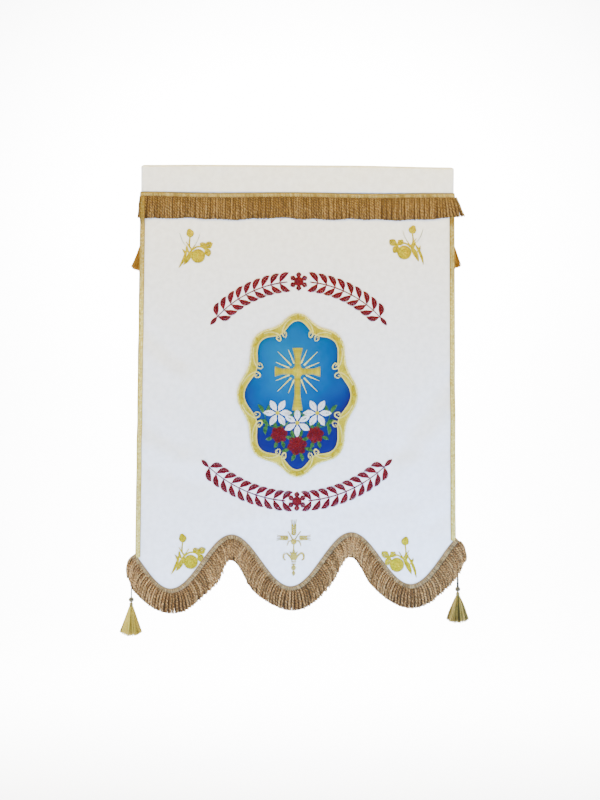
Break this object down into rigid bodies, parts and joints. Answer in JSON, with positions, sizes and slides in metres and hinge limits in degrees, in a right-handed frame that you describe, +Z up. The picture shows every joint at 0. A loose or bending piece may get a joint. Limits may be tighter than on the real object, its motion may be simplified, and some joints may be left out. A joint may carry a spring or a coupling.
{
  "type": "church banner",
  "caption": "Hanging cloth banner with a rod sleeve, scalloped fringed hem, side braid, oval appliqué medallion and corner tassels.",
  "frame": {"origin": "middle of the top edge, on the crown of the rod sleeve", "axes": "+Z up along the hang of the cloth, +X to the right of someone who faces the front, the front faces -Y"},
  "size_m": [0.7627, 0.0317, 1.0463],
  "materials": {
    "cream_cloth": "matt woven polyester with a faint ribbed damask face",
    "pale_gold_braid": "galloon of pale gold thread, soft sheen",
    "gold_fringe": "twisted gold rayon cords, satin sheen",
    "beige_gold_fringe": "twisted beige gold rayon cords, satin sheen",
    "blue_satin": "blue satin ground under satin stitch",
    "twisted_cord": "twisted grey green and gold cord",
    "amber_floss": "deep gold rayon floss, silky",
    "pale_gold_floss": "pale gold rayon floss, silky"
  },
  "bodies": {
    "root": {"rod_sleeve": "cream_cloth", "banner_panel": "cream_cloth", "left_braid": "pale_gold_braid", "right_braid": "pale_gold_braid", "top_fringe": "gold_fringe", "hem_fringe": "beige_gold_fringe", "medallion": "blue_satin", "cord_upper_left": "twisted_cord", "ball_upper_left": "amber_floss", "skirt_upper_left": "amber_floss", "cord_upper_right": "twisted_cord", "ball_upper_right": "amber_floss", "skirt_upper_right": "amber_floss", "cord_lower_left": "twisted_cord", "ball_lower_left": "pale_gold_floss", "skirt_lower_left": "pale_gold_floss", "cord_lower_right": "twisted_cord", "ball_lower_right": "pale_gold_floss", "skirt_lower_right": "pale_gold_floss"}
  },
  "joints": []
}
